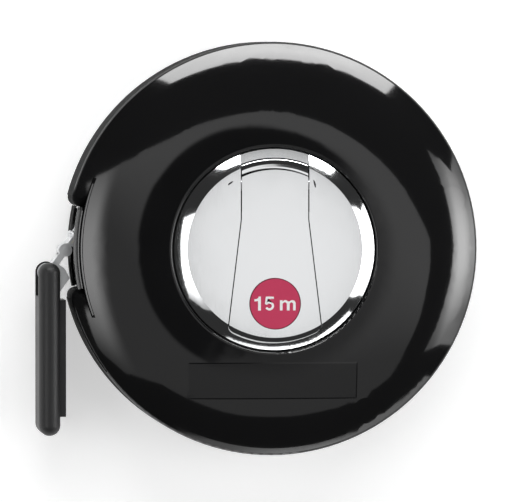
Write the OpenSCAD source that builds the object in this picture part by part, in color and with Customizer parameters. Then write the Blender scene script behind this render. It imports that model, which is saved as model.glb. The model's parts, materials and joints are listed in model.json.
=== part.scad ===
// Surveyor's tape reel: round closed case, chromed winding disc with a fold-out
// crank, and a steel tape with a hinged grip bar on its end.
// The reel lies on its back. Z is the reel's axis, the tape mouth faces -X and
// the origin is where the axis meets the plane that the back rests on.

/* [Case] */
// Outer diameter of the case
case_d = 100; // [96:0.5:106]
// Thickness from the rest plane to the front crest
case_t = 30; // [29:0.5:33]
// Wall of the two shells
wall = 2; // [1.6:0.1:2.2]
// Height of the straight band round the rim
rim_h = 17; // [15:0.5:19]
// Rounding where the crown meets the rim band
rim_round = 1; // [0.5:0.1:1.5]
// Distance of the crest, where the crown begins, outside the well's bore
crest_out = 0.7; // [0.6:0.05:1.2]
// Width of the flat ring on the crest
crest_w = 0.2; // [0.1:0.05:0.6]
// Rounding from the crest down into the disc's well
crest_round = 0.6; // [0.3:0.05:0.6]
// Depth of the drum's collar in the well below the crest
well_depth = 2.6; // [2.2:0.1:3]
// Gap between the well's bearing land and the drum's front side
land_gap = 0.7; // [0.5:0.05:0.9]
// Outer diameter of the ring recess in the back
back_recess_d = 44; // [40:1:46]
// Diameter of the flat pad in the middle of the back
back_pad_d = 22; // [20:1:26]
// Depth of the recess in the back
back_recess = 1.5; // [1.2:0.1:1.8]

/* [Case screws] */
// Diameter of the screw bosses
boss_d = 6.4; // [6:0.1:6.8]
// Diameter of the screw shanks
screw_d = 2.2; // [1.8:0.1:2.6]
// Diameter of the screw heads
screw_head_d = 3.8; // [3.2:0.1:4]
// Height of the screw heads
screw_head_h = 1.4; // [1:0.1:1.6]
// Distance of the heads' seat above the back wall
screw_sink = 4.2; // [4:0.1:4.6]
// Distance of the screws' tips below the front wall
screw_short = 7; // [6:0.5:9]

/* [Tape mouth] */
// Distance between the centres of the two rolled lips
mouth_h = 23.8; // [22:0.1:26]
// Height of the mouth's middle above the axis
mouth_y = 0.4; // [0:0.1:1]
// Slant of the mouth's ends, which widen inwards
mouth_flare = 42; // [38:1:46]
// Run of the slit, which shows the frame's edge in the crown, past each lip
slit_over = 4.9; // [4.4:0.1:5.4]
// Diameter of the rolled lips
lip_d = 4; // [3.4:0.1:4.4]
// Depth of the rolled lips below the case's outer surface
lip_in = 0.2; // [0.16:0.01:0.3]
// Depth of the frame from its inner to its outer wall
frame_deep = 2.4; // [2:0.1:2.8]
// Depth of the frame in front of the shells' cut
frame_proud = 1.6; // [1.2:0.1:1.8]
// Run of the frame's flange behind the shells past the slit
frame_over = 1; // [0.8:0.1:1.2]
// Room for the tape at each of its edges inside the frame
mouth_room = 0.9; // [0.6:0.1:1.2]
// Radius of the bead round the frame's front edge
bead_r = 0.7; // [0.5:0.05:0.9]
// Width of the step behind the bead
step_w = 0.7; // [0.5:0.05:0.8]
// Height of that step above the bead
step_h = 0.3; // [0.1:0.05:0.4]

/* [Drum and tape] */
// Width of the tape
tape_w = 13; // [12:0.5:13.5]
// Thickness of the tape with its coating
tape_t = 0.25; // [0.2:0.01:0.4]
// Depth of the full pack of tape below the rim of the drum's sides
pack_in = 2; // [1.5:0.1:3]
// Diameter of the hub that the tape winds on
hub_d = 41; // [40:0.5:43]
// Wall of the hub
hub_wall = 1.5; // [1.2:0.1:1.7]
// Gap between the drum's steel sides and the screw bosses
flange_gap = 0.5; // [0.4:0.05:1]
// Thickness of the drum's steel sides
flange_t = 0.8; // [0.6:0.05:1]
// Thickness of the hub's floor
hub_floor = 2; // [1.8:0.1:2.4]
// Wall of the hub's middle boss
hub_boss_wall = 1.6; // [1.4:0.1:2]
// Diameter of the axle
axle_d = 6; // [5:0.1:6.4]
// Wall of the boss that the axle is pressed into
axle_boss_wall = 5; // [4:0.1:6]
// Wall of the bush on the axle
bush_wall = 1.5; // [1:0.1:1.8]
// Diameter of the pin that anchors the tape's inner end
anchor_d = 1.2; // [1:0.05:1.3]
// Thickness of the drag washer under the drum
drag_t = 0.7; // [0.5:0.05:0.9]

/* [Winding disc] */
// Diameter of the well's bore, in which the drum's collar turns
well_d = 49; // [48.6:0.1:50]
// Wall of the drum's collar
collar_wall = 1.7; // [1.5:0.1:1.8]
// Gap between the chromed disc's edge and the well's bore
disc_gap = 0.3; // [0.3:0.05:0.6]
// Width of the bevel round the flat top
disc_bevel = 3; // [2.6:0.1:3.4]
// Height of the flat top above the collar
disc_rise = 3.6; // [3.4:0.1:3.8]
// Height of the upright edge below the bevel
disc_edge = 2.1; // [1.9:0.1:2.3]
// Radius of the crowned bevel
bevel_r = 30; // [20:1:40]
// Thickness of the disc's plate
disc_t = 2.3; // [2.2:0.1:2.5]

/* [Crank flap] */
// Thickness of the flap
flap_t = 1.5; // [1.3:0.1:1.6]
// Gap round the flap
flap_gap = 0.3; // [0.2:0.05:0.35]
// Width at the hinge
flap_w = 16; // [15:0.1:16.4]
// Width across the free end's corners
flap_end_w = 22.4; // [21:0.1:23]
// Length of the straight sides between the hinge and the flare
flare_run = 8.4; // [7.6:0.1:10]
// Height of the free end's arc over its corners
flap_end_rise = 3.1; // [2.6:0.1:3.6]
// Distance of the free end's arc inside the disc's edge
flap_end_in = 1.9; // [1.7:0.1:2.2]
// Radius of the free end's corners
flap_corner_r = 2; // [1.4:0.1:2.4]
// Distance of the hinge pin inside the disc's edge
hinge_in = 8.5; // [8.1:0.1:8.9]
// Depth of the hinge pin below the flap's face
hinge_drop = 1.3; // [1.2:0.05:1.4]
// Diameter of the hinge pin
flap_pin_d = 1.8; // [1.4:0.1:1.8]
// Diameter of the hinge knuckle
knuckle_d = 3.4; // [3.2:0.1:3.6]
// Distance of the tail's rolled edge inside the disc's edge
tail_in = 2.4; // [2.3:0.05:2.7]
// Rounding of the tail's rolled edge
tail_round = 1.2; // [0.9:0.1:1.3]
// Distance of the knob's axis inside the hub's wall
knob_in = 6; // [5.8:0.1:6.4]
// Diameter of the knob
knob_d = 8.6; // [7.6:0.1:8.8]
// Height of the knob
knob_h = 9; // [7:0.1:9.4]
// Diameter of the rivet that the knob turns on
knob_rivet_d = 3; // [2.4:0.1:3.2]
// Diameter of the round red plate
dot_d = 12.4; // [11:0.1:13]
// Thickness of the round red plate
dot_t = 0.4; // [0.3:0.05:0.5]

/* [Tape end] */
// Distance of the ferrule's eye inside the case's rim
eye_in = 0.42; // [0.2:0.02:0.6]
// Height of the ferrule's eye above the mouth's middle
eye_rise = -0.72; // [-1.2:0.02:-0.2]
// Gap between the straight tape's inner end and the case wall
lead_gap = 1.4; // [1:0.1:2]
// Length of the ferrule along the tape
ferrule_l = 5; // [4:0.1:6]
// Thickness of the ferrule's sheet
ferrule_t = 0.6; // [0.5:0.05:0.7]
// Width of the ferrule's tongue and eye
tongue_w = 5.2; // [4.6:0.1:5.6]
// Diameter of the link's pin in the eye
link_pin_d = 1.5; // [1.2:0.1:1.6]
// Length of the link from pin to pin
link_l = 6.9; // [6.6:0.1:7.4]
// Width of the link's straps
link_w = 1.5; // [1.4:0.1:1.8]
// Thickness of the link's sheet
link_t = 1.2; // [1:0.05:1.3]

/* [Grip bar] */
// Length of the bar
grip_l = 41.8; // [38:0.1:44]
// Thickness of the bar, which is round at its edges
grip_w = 5.2; // [5:0.1:5.4]
// Depth of the bar along the reel's axis
grip_deep = 17; // [16.6:0.1:18]
// Diameter of the bar's pin
grip_pin_d = 1.6; // [1.4:0.1:1.8]
// Thickness of the plate on the bar's inner side
plate_t = 1.4; // [1:0.1:1.5]
// Width of the plate
plate_w = 12; // [10:0.5:12.6]
// Distance of the plate's lower end from the bar's end
plate_end = 4.6; // [4:0.1:6]
// Distance of the plate's top below the bar's pin
plate_drop = 6.4; // [6:0.1:7]
// Diameter of the plate's rivets
plate_rivet_d = 2; // [1.6:0.1:2.4]

/* [Fits] */
// Running clearance of turning fits, at the radius
run_gap = 0.08; // [0.05:0.01:0.12]
// Running clearance between side faces
side_gap = 0.2; // [0.15:0.01:0.3]
// Clearance of pieces that pass each other
pass_gap = 0.4; // [0.3:0.05:0.5]

/* [Hidden] */
$fn = 128;
big = 200;
eps = 0.01;

case_r = case_d / 2;
well_r = well_d / 2;
crest_in = well_r + crest_out;
crest_r = crest_in + crest_w;
z_mid = case_t / 2;

// Crown: an arc that leaves the crest level and meets the rim band's top
crown_drop = (case_t - rim_h) / 2;
crown_run = case_r - crest_r;
crown_r = (crown_run * crown_run + crown_drop * crown_drop) / (2 * crown_drop);
crown_z = case_t - crown_r;
rim_z = crown_z + sqrt(pow(crown_r - rim_round, 2) - pow(crown_run - rim_round, 2));
rim_c = [case_r - rim_round, rim_z];
rim_a = atan2(rim_c[1] - crown_z, rim_c[0] - crest_r);

// Well of the winding disc
z_well = case_t - well_depth;
crest_c = [crest_in, case_t - crest_round];
well_edge = [well_r, z_well];
well_vec = well_edge - crest_c;
well_a = atan2(well_vec[1], well_vec[0]) - acos(crest_round / norm(well_vec));
well_tan = crest_c + crest_round * [cos(well_a), sin(well_a)];

// Case screws, clear of the mouth and of the tape's straight run
screw_angles = [15, 85, 225, 300];
boss_r = boss_d / 2;
screw_circle = case_r - wall - boss_r + pass_gap;
screw_seat = wall + screw_sink;
screw_tip = case_t - wall - screw_short;
drive_w = 0.6;
drive_l = 2.4;
drive_h = 0.7;

// Mouth
lip_r = lip_d / 2;
lip_rho = case_r - lip_r - lip_in;
lip_run = 2 * lip_d;
lip_knuckle_r = lip_r + run_gap / 2;
cut_r = case_r - lip_d - run_gap;
slit_r = cut_r + step_w + run_gap;
z_lip = crown_z + sqrt(pow(crown_r - lip_r - lip_in, 2) - pow(lip_rho - crest_r, 2));
lip_rise = atan2(lip_rho - crest_r, z_lip - crown_z);
function lip_c(s) = [-sqrt(pow(lip_rho, 2) - pow(mouth_y + s * mouth_h / 2, 2)), mouth_y + s * mouth_h / 2];
function lip_u(s) = [cos(mouth_flare), s * sin(mouth_flare)];
function lip_edge(s) = lip_c(s) * (1 + lip_run / lip_rho);
frame_out = cut_r + frame_proud;
frame_in = frame_out - frame_deep;
slot_z = tape_w / 2 + mouth_room;
frame_z = crown_z + sqrt(pow(crown_r, 2) - pow(slit_r - crest_r, 2)) - z_mid;
step_z = frame_z + step_h;
slit_h = mouth_h + 2 * slit_over;
frame_y = mouth_h / 2 - lip_r - run_gap;
inner_crown_z = crown_z + sqrt(pow(crown_r - wall, 2) - pow(cut_r + eps - crest_r, 2));
flange_z = inner_crown_z - z_mid - run_gap;
slot_y = frame_y - frame_over / 2;
flange_y = slit_h / 2 + frame_over;

// Drum, from the rest plane up
hub_r = hub_d / 2;
hub_in = hub_r - hub_wall;
flange_r = screw_circle - boss_r - flange_gap;
pack_r = flange_r - pack_in;
z_tape = z_mid - tape_w / 2;
z_rear_flange = z_tape - side_gap - flange_t;
z_front_flange = z_mid + tape_w / 2 + side_gap;
z_web = z_front_flange + flange_t;
z_hub = z_rear_flange - flange_t;
z_land = z_web + land_gap;
collar_r = well_r - run_gap;
collar_in = collar_r - collar_wall;
axle_r = axle_d / 2;
bush_r = axle_r + run_gap + bush_wall;
hub_boss_r = bush_r + hub_boss_wall;
z_axle_top = z_web + flange_t / 2;
z_back_in = back_recess + wall;
z_axle_foot = back_recess;
z_boss_back = z_hub - drag_t - 2 * run_gap;
axle_boss_r = axle_r + axle_boss_wall;
washer_t = 0.6;
washer_r = bush_r + washer_t;
axle_screw_r = 1.25;
axle_screw_l = 6;
axle_screw_h = 1.8;
hub_ledge = 2;
z_notch = z_front_flange;
anchor_a = 200;

// Winding disc
disc_r = well_r - disc_gap;
disc_top_r = disc_r - disc_bevel;
z_flat = z_well + disc_rise;
z_plate = z_flat - disc_t;
bed_gap = 0.1;
z_recess = z_flat - flap_t - bed_gap;
spigot_r = collar_in - run_gap;
spigot_in = spigot_r - 1.6;
z_spigot = z_web + flange_t + pass_gap;
access_r = washer_r + pass_gap;
bevel_a = [disc_top_r, z_flat];
bevel_b = [disc_r, z_well + disc_edge];
bevel_m = (bevel_a + bevel_b) / 2;
bevel_v = (bevel_b - bevel_a) / norm(bevel_b - bevel_a);
bevel_in = sqrt(pow(bevel_r, 2) - pow(norm(bevel_b - bevel_a) / 2, 2));
bevel_c = bevel_m + bevel_in * [bevel_v[1], -bevel_v[0]];
post_x = hub_in - 5;
post_d = 5;
disc_screw_d = 2;
disc_screw_h = 1.1;

// Flap
z_hinge = z_flat - hinge_drop;
hinge_y = disc_r - hinge_in;
tail_r = disc_r - tail_in;
flap_end_r = disc_r - flap_end_in;
flap_end_y = flap_end_r - flap_end_rise;
flare_y = hinge_y - flare_run;
knob_y = hub_in - knob_in;
tail_sweep = norm([tail_r - hinge_y, hinge_drop]) + pass_gap;
flap_half = flap_w / 2;
flap_side = [flap_end_w / 2 - flap_half, -flap_end_y - flare_y];
flap_dir = flap_side / norm(flap_side);
flap_norm = [flap_dir[1], -flap_dir[0]];
cheek_l = 2.2;
washer_gap = 0.05;
z_knob_top = z_flat - flap_t - side_gap;
z_knob = z_knob_top - knob_h;
pocket_r = knob_d / 2 + pass_gap + side_gap;
pocket_run = 1.5;
knob_round = 1;
knob_foot = 1.6;
knob_waist = 0.5;
knob_head = 1;
groove_r = 0.7;
groove_lift = 0.25;
dot_proud = 0.1;
dot_gap = 0.05;
z_dot = z_flat - dot_t + dot_proud;

// Tape end: the run is the tangent from the eye to the pack, and lead frames use it as X
lead_lift = 0.3;
lead_r = pack_r + lead_lift + tape_t / 2;
eye_rho = case_r - eye_in;
eye_y = mouth_y + eye_rise;
tape_slant = acos(lead_r / eye_rho) + asin(eye_y / eye_rho);
tape_n = [-cos(tape_slant), sin(tape_slant)];
tape_dir = [-sin(tape_slant), -cos(tape_slant)];
lead_turn = atan2(tape_dir[1], tape_dir[0]);
tangent = lead_r * tape_n;
eye_run = sqrt(pow(eye_rho, 2) - pow(lead_r, 2));
lead_tail = sqrt(pow(case_r - wall - lead_gap, 2) - pow(lead_r, 2));
eye_wall = 0.75;
eye_r = link_pin_d / 2 + run_gap + eye_wall;
lead_end = eye_r + ferrule_t;
grip_run = eye_run + link_l;
grip_pivot = tangent + grip_run * tape_dir;
link_z = tongue_w / 2 + pass_gap;
rivet_r = 0.9;
claw_back = 3.2;
claw_reach = 4.8;
claw_w = 2;
claw_wall = 1.45;
web_t = 0.7;

// Grip bar
grip_r = grip_w / 2;
plate_l = grip_l - grip_r - plate_drop - plate_end;
cheek_z = link_z + link_t + pass_gap;
slot_drop = 5.6;
pin_end = cheek_z + 0.8;
rivet_proud = 0.15;

// Rectangle in radius and height for a revolve
module ring(r0, r1, z0, z1) {
    translate([r0, z0]) square([r1 - r0, z1 - z0]);
}

// Upright tube
module tube(r0, r1, z0, z1) {
    rotate_extrude() ring(r0, r1, z0, z1);
}

// Upright cylinder between two heights
module rod(r, z0, z1) {
    translate([0, 0, z0]) cylinder(r = r, h = z1 - z0);
}

// Places children at each case screw
module at_screws() {
    for (a = screw_angles) rotate(a) translate([screw_circle, 0, 0]) children();
}

// Frame of the tape's straight run: X along the tape, Y towards the case
module at_tape(run) {
    translate([tangent[0], tangent[1], z_mid]) rotate(lead_turn) translate([run, 0, 0]) children();
}

// Frame of the grip bar's pin
module at_grip() {
    translate([grip_pivot[0], grip_pivot[1], z_mid]) children();
}

// Outer section of the case above the rest plane, front side crowned
module crown_section() {
    difference() {
        union() {
            ring(0, crest_r, 0, case_t);
            intersection() {
                translate([crest_r, crown_z]) circle(crown_r);
                ring(crest_r - eps, case_r, 0, case_t);
            }
        }
        difference() {
            translate(rim_c) polygon([
                [0, 0], 3 * rim_round * [cos(rim_a), sin(rim_a)],
                3 * rim_round * [1, 1], [3 * rim_round, 0]
            ]);
            translate(rim_c) circle(rim_round);
        }
    }
}

// Cavity section under the crown, from a given radius out
module crown_cavity(r0) {
    intersection() {
        translate([crest_r, crown_z]) circle(crown_r - wall);
        ring(r0, case_r - wall, -eps, case_t);
    }
}

module front_solid() {
    rotate_extrude() intersection() {
        crown_section();
        ring(0, big, z_mid, big);
    }
}

module rear_solid() {
    translate([0, 0, case_t]) mirror([0, 0, 1]) front_solid();
}

// Band of the plan that is left of the axis and as high as given
module mouth_band(h) {
    translate([-big, mouth_y - h / 2, -eps]) cube([big, h, case_t + 2 * eps]);
}

// Mouth cut through a shell: a wedge between the lips, and the slit for the frame's edge
module mouth_window() {
    difference() {
        union() {
            translate([0, 0, -eps]) linear_extrude(height = case_t + 2 * eps) polygon([
                lip_edge(1), lip_c(1), lip_c(1) + 2 * lip_run * lip_u(1),
                lip_c(-1) + 2 * lip_run * lip_u(-1), lip_c(-1), lip_edge(-1)
            ]);
            intersection() {
                rod(slit_r, -eps, case_t + eps);
                mouth_band(slit_h);
            }
        }
        rod(cut_r, -big, big);
    }
}

// Front half of the rolled lips: upright along the rim, then up the crown to the slit
module mouth_lips() {
    difference() {
        for (s = [-1, 1]) translate(lip_c(s)) {
            rod(lip_r, z_mid, z_lip);
            translate([0, 0, z_lip]) {
                sphere(lip_knuckle_r);
                rotate([lip_rise - 90, 0, s * mouth_flare - 90]) cylinder(r = lip_r, h = lip_run);
            }
        }
        rod(slit_r, 0, big);
    }
}

module front_shell() color("#161616") {
    difference() {
        rotate_extrude() difference() {
            intersection() {
                crown_section();
                ring(0, big, z_mid, big);
            }
            difference() {
                polygon([
                    [0, z_well], well_edge, well_tan, [crest_in, case_t],
                    [crest_in, big], [0, big]
                ]);
                translate(crest_c) circle(crest_round);
            }
            ring(0, well_r, 0, z_well + eps);
            ring(0, well_r + wall + eps, 0, z_land);
            crown_cavity(well_r + wall);
        }
        mouth_window();
    }
    intersection() {
        front_solid();
        mouth_lips();
    }
    difference() {
        intersection() {
            front_solid();
            at_screws() rod(boss_r, z_mid, case_t);
        }
        at_screws() rod(screw_d / 2, 0, screw_tip + pass_gap);
    }
}

module rear_shell() color("#181818") {
    difference() {
        union() {
            difference() {
                translate([0, 0, case_t]) mirror([0, 0, 1]) rotate_extrude() difference() {
                    intersection() {
                        crown_section();
                        ring(0, big, z_mid, big);
                    }
                    crown_cavity(crest_r - eps);
                    ring(0, crest_r, 0, case_t - wall);
                }
                tube(back_pad_d / 2, back_recess_d / 2, -eps, back_recess);
                mouth_window();
            }
            tube(0, back_recess_d / 2 + wall, back_recess, z_back_in);
            rod(axle_boss_r, back_recess, z_boss_back);
            translate([0, 0, case_t]) mirror([0, 0, 1]) mouth_lips();
            intersection() {
                rear_solid();
                at_screws() rod(boss_r, 0, z_mid);
            }
        }
        rod(axle_r, z_axle_foot, z_mid);
        at_screws() rod(screw_head_d / 2 + side_gap, -eps, screw_seat);
        at_screws() rod(screw_d / 2 + run_gap, 0, case_t);
    }
}

module case_screws() color("#8d8f92") {
    at_screws() {
        difference() {
            rod(screw_head_d / 2, screw_seat - screw_head_h, screw_seat);
            for (a = [0, 90]) {
                rotate(a) translate([-drive_w / 2, -drive_l / 2, screw_seat - screw_head_h - eps])
                    cube([drive_w, drive_l, drive_h]);
            }
        }
        rod(screw_d / 2, screw_seat, screw_tip);
    }
}

// Section of the mouth frame between the lips: outer wall with a bead on each edge
module frame_section() {
    translate([0, z_mid]) for (s = [0, 1]) mirror([0, s]) {
        ring(cut_r + run_gap, frame_out, 0, frame_z - bead_r);
        translate([frame_out - bead_r / 8, frame_z - bead_r]) circle(bead_r);
    }
}

// Insert in the mouth: a flange inside the shells, an edge in the slit, a wall between the lips
module mouth_frame() color("#1c1c1c") {
    difference() {
        union() {
            intersection() {
                tube(frame_in, cut_r - run_gap, z_mid - flange_z, z_mid + flange_z);
                mouth_band(2 * flange_y);
            }
            intersection() {
                rotate_extrude() {
                    ring(cut_r + run_gap, cut_r + step_w, z_mid - step_z, z_mid + step_z);
                    ring(frame_in, cut_r + step_w, z_mid - flange_z, z_mid + flange_z);
                }
                mouth_band(slit_h - 2 * run_gap);
            }
            intersection() {
                rotate_extrude() frame_section();
                mouth_band(2 * frame_y);
            }
        }
        translate([-big, mouth_y - slot_y, z_mid - slot_z]) cube([big, 2 * slot_y, 2 * slot_z]);
    }
}

module axle() color("#9fa3a7") {
    difference() {
        rod(axle_r, z_axle_foot, z_axle_top);
        rod(axle_screw_r, z_axle_top - axle_screw_l, z_axle_top + eps);
    }
}

module axle_washer() color("#a5a8ab") {
    tube(axle_screw_r + run_gap, washer_r, z_axle_top, z_axle_top + washer_t);
}

module axle_screw() color("#8d8f92") {
    z_head = z_axle_top + washer_t;
    rod(axle_screw_r, z_axle_top - axle_screw_l, z_head);
    difference() {
        rod(2 * axle_screw_r, z_head, z_head + axle_screw_h);
        translate([-drive_w / 2, -big, z_head + axle_screw_h - drive_h]) cube([drive_w, 2 * big, big]);
    }
}

module drag_washer() color("#b0a078") {
    tube(axle_r + pass_gap, axle_boss_r - washer_t, z_boss_back + run_gap, z_hub - run_gap);
}

// Pin across the tape's width in the hub's outer face
module anchor_rod() {
    rotate(anchor_a) translate([hub_r - anchor_d / 2, 0, 0]) rod(anchor_d / 2, z_tape, z_tape + tape_w);
}

module drum_hub() color("#2a2a2a") {
    difference() {
        rotate_extrude() {
            ring(hub_in, hub_r, z_hub, z_web + flange_t);
            ring(hub_in, hub_r + hub_ledge, z_hub, z_rear_flange);
            ring(bush_r, hub_r, z_hub, z_hub + hub_floor);
            ring(bush_r, hub_boss_r, z_hub, z_axle_top - run_gap);
            ring(hub_in, collar_r, z_web, z_web + flange_t);
            ring(collar_in, collar_r, z_web, z_well);
        }
        translate([-flap_half - pass_gap, hinge_y - tail_sweep, z_notch])
            cube([flap_w + 2 * pass_gap, hub_r - hinge_y + tail_sweep, z_web + flange_t - z_notch + eps]);
        anchor_rod();
        for (s = [-1, 1]) translate([s * post_x, 0, 0]) {
            rod(disc_screw_d / 2 + run_gap, 0, z_mid);
            rod(disc_screw_d, 0, z_hub + disc_screw_h);
        }
    }
}

module hub_bush() color("#b08d4a") tube(axle_r + run_gap, bush_r, z_hub, z_axle_top - run_gap);

module front_flange() color("#a2a5a8") tube(hub_r, flange_r, z_front_flange, z_web);

module rear_flange() color("#a2a5a8") tube(hub_r, flange_r, z_rear_flange, z_rear_flange + flange_t);

module wound_tape() color("#e6e2cf") tube(hub_r, pack_r, z_tape, z_tape + tape_w);

module tape_anchor() color("#8d8f92") anchor_rod();

// Solid of the disc's outer form: flat top, crowned bevel, upright edge
module disc_form() {
    rotate_extrude() intersection() {
        union() {
            ring(0, disc_top_r, z_well, z_flat);
            translate(bevel_c) circle(bevel_r);
        }
        ring(0, disc_r, z_well, z_flat);
    }
}

// Flat outline of the flap, grown all round by a gap
module flap_outline(grow) {
    corner = flap_corner_r;
    side0 = [flap_half, flare_y] + flap_norm * corner;
    along = side0 * flap_dir;
    reach = pow(flap_end_r - corner, 2) - side0 * side0;
    corner_c = side0 + flap_dir * (-along + sqrt(along * along + reach));
    half = flap_half + grow;
    side_end = corner_c - flap_norm * (corner + grow);
    flare = [half, flare_y - grow * flap_dir[0]];
    for (s = [0, 1]) mirror([s, 0]) {
        polygon([[-eps, 0], [-eps, big], [half, big], flare, side_end, corner_c, [-eps, corner_c[1]]]);
        translate(corner_c) circle(corner + grow);
        intersection() {
            circle(flap_end_r + grow);
            polygon([[-eps, 0], 3 * corner_c, [-eps, -big]]);
        }
    }
}

// Window under the flap's tail, and the notch it folds out through
module tail_window() {
    half = flap_half + flap_gap;
    intersection() {
        translate([-half, hinge_y - tail_sweep, 0]) cube([2 * half, big, big]);
        rod(tail_r + flap_gap, 0, big);
    }
    translate([-half, hinge_y, z_recess]) cube([2 * half, big, big]);
}

// Pocket that the knob folds into
module knob_pocket() {
    for (y = [-knob_y + side_gap, -knob_y - pocket_run]) translate([0, y, 0]) rod(pocket_r, 0, big);
    translate([-pocket_r, -knob_y - pocket_run, 0]) cube([2 * pocket_r, pocket_run + side_gap, big]);
}

// Hinge pin of the flap, from cheek to cheek
module hinge_rod() {
    translate([-flap_half - flap_gap - cheek_l, hinge_y, z_hinge]) rotate([0, 90, 0])
        cylinder(d = flap_pin_d, h = flap_w + 2 * (flap_gap + cheek_l));
}

module winding_disc() color("#d3d6d8") {
    difference() {
        union() {
            difference() {
                disc_form();
                rod(spigot_in, 0, z_plate);
            }
            tube(spigot_in, spigot_r, z_spigot, z_plate + eps);
        }
        translate([0, 0, z_recess]) linear_extrude(height = big) intersection() {
            flap_outline(flap_gap);
            circle(disc_r + flap_gap);
        }
        tail_window();
        knob_pocket();
        rod(access_r, 0, big);
        hinge_rod();
    }
    difference() {
        for (s = [-1, 1]) translate([s * post_x, 0, 0]) rod(post_d / 2, z_hub + hub_floor, z_plate + eps);
        for (s = [-1, 1]) translate([s * post_x, 0, 0]) rod(disc_screw_d / 2, 0, z_mid);
    }
}

module disc_screws() color("#8d8f92") {
    for (s = [-1, 1]) translate([s * post_x, 0, 0]) {
        rod(disc_screw_d / 2, z_hub, z_mid);
        rod(disc_screw_d - run_gap, z_hub, z_hub + disc_screw_h);
    }
}

module flap_pin() color("#9fa3a7") hinge_rod();

module flap_washers() color("#9fa3a7") {
    for (s = [0, 1]) mirror([s, 0, 0]) translate([flap_half + washer_gap, hinge_y, z_hinge])
        rotate([0, 90, 0]) difference() {
            cylinder(d = knuckle_d - flap_gap, h = flap_gap - washer_gap);
            translate([0, 0, -flap_gap]) cylinder(d = flap_pin_d, h = 3 * flap_gap);
        }
}

// Section that the tail's rolled edge keeps: a round end with a thumb groove
module tail_trim() {
    rotate_extrude() {
        difference() {
            ring(tail_r - tail_round, big, z_flat - tail_round, big);
            translate([tail_r - tail_round, z_flat - tail_round]) circle(tail_round);
        }
        ring(tail_r, big, 0, z_flat - tail_round + eps);
        translate([tail_r - 2 * tail_round - run_gap, z_flat + groove_lift]) circle(groove_r);
    }
}

module crank_flap() color("#dcdfe1") {
    difference() {
        union() {
            difference() {
                intersection() {
                    disc_form();
                    translate([0, 0, z_flat - flap_t]) linear_extrude(height = flap_t) flap_outline(0);
                }
                intersection() {
                    tail_trim();
                    translate([-big, hinge_y, 0]) cube(2 * big);
                }
            }
            intersection() {
                translate([-flap_half, hinge_y, z_hinge]) rotate([0, 90, 0])
                    cylinder(d = knuckle_d, h = flap_w);
                translate([-big, 0, 0]) cube([2 * big, big, z_flat]);
            }
        }
        translate([-big, hinge_y, z_hinge]) rotate([0, 90, 0])
            cylinder(r = flap_pin_d / 2 + run_gap, h = 2 * big);
        translate([0, -knob_y, 0]) {
            rod(knob_rivet_d / 2, 0, big);
            rod(dot_d / 2 + dot_gap, z_dot, big);
        }
    }
}

module length_dot() color("#c83e5c") {
    translate([0, -knob_y, 0]) rod(dot_d / 2, z_dot, z_dot + dot_t);
}

module knob_rivet() color("#9fa3a7") translate([0, -knob_y, 0]) {
    rod(knob_rivet_d / 2, z_knob, z_dot);
    rod(knob_rivet_d / 2 + knob_head, z_knob, z_knob + knob_head);
}

module crank_knob() color("#1a1a1a") translate([0, -knob_y, 0]) rotate_extrude() difference() {
    r = knob_d / 2;
    union() {
        translate([r - knob_round, z_knob_top - knob_round]) circle(knob_round);
        translate([r - knob_foot, z_knob + knob_foot]) circle(knob_foot);
        ring(0, r - knob_round, z_knob_top - 2 * knob_round, z_knob_top);
        ring(0, r - knob_waist, z_knob + knob_foot, z_knob_top - knob_round);
        ring(0, r - knob_foot, z_knob, z_knob_top - knob_round);
    }
    ring(-big, knob_rivet_d / 2 + run_gap, 0, big);
    ring(-big, knob_rivet_d / 2 + knob_head + run_gap, 0, z_knob + knob_head + run_gap);
}

module tape_lead() color("#e6e2cf") at_tape(-lead_tail) {
    translate([0, -tape_t / 2, -tape_w / 2]) cube([lead_tail + eye_run - lead_end, tape_t, tape_w]);
}

// Sheet folded over the tape's end and drawn out to a tongue with a rolled eye
module tape_ferrule() color("#cfd2d4") at_tape(eye_run) difference() {
    union() {
        translate([-eye_r - ferrule_l, -tape_t / 2 - ferrule_t, -tape_w / 2])
            cube([ferrule_l, tape_t + 2 * ferrule_t, tape_w]);
        translate([-eye_r - ferrule_l / 2, -tape_t / 2 - ferrule_t, -tongue_w / 2])
            cube([eye_r + ferrule_l / 2, tape_t + 2 * ferrule_t, tongue_w]);
        translate([0, 0, -tongue_w / 2]) cylinder(r = eye_r, h = tongue_w);
    }
    translate([0, 0, -big]) cylinder(r = link_pin_d / 2 + run_gap, h = 2 * big);
    translate([-big, -tape_t / 2, -tape_w / 2 - eps]) cube([big - lead_end, tape_t, tape_w + 2 * eps]);
}

module ferrule_rivets() color("#c4c7c9") at_tape(eye_run - eye_r - ferrule_l / 2) {
    for (z = [-tape_w / 4, tape_w / 4]) translate([0, -tape_t / 2 - ferrule_t, z]) rotate([90, 0, 0])
        intersection() {
            sphere(rivet_r);
            rod(big, 0, big);
        }
}

// One side strap of the link with its claw round the grip's pin
module link_strap() {
    difference() {
        union() {
            circle(eye_r);
            translate([0, -link_w / 2]) square([link_l, link_w]);
            translate([link_l, 0]) circle(grip_pin_d / 2 + claw_wall);
            translate([link_l, 0]) polygon([
                [-claw_back, 0], [-claw_back, claw_reach / 2], [-claw_w, claw_reach],
                [claw_w, claw_reach], [claw_w, claw_wall], [0, 0]
            ]);
        }
        circle(link_pin_d / 2);
        translate([link_l, 0]) circle(grip_pin_d / 2 + run_gap);
    }
}

module end_link() color("#d6d9db") at_tape(eye_run) {
    for (s = [0, 1]) mirror([0, 0, s]) translate([0, 0, link_z])
        linear_extrude(height = link_t) link_strap();
    translate([eye_r + pass_gap, -link_w / 2, -link_z - eps])
        cube([link_l - eye_r - grip_pin_d - 3 * pass_gap, web_t, 2 * (link_z + eps)]);
}

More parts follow.
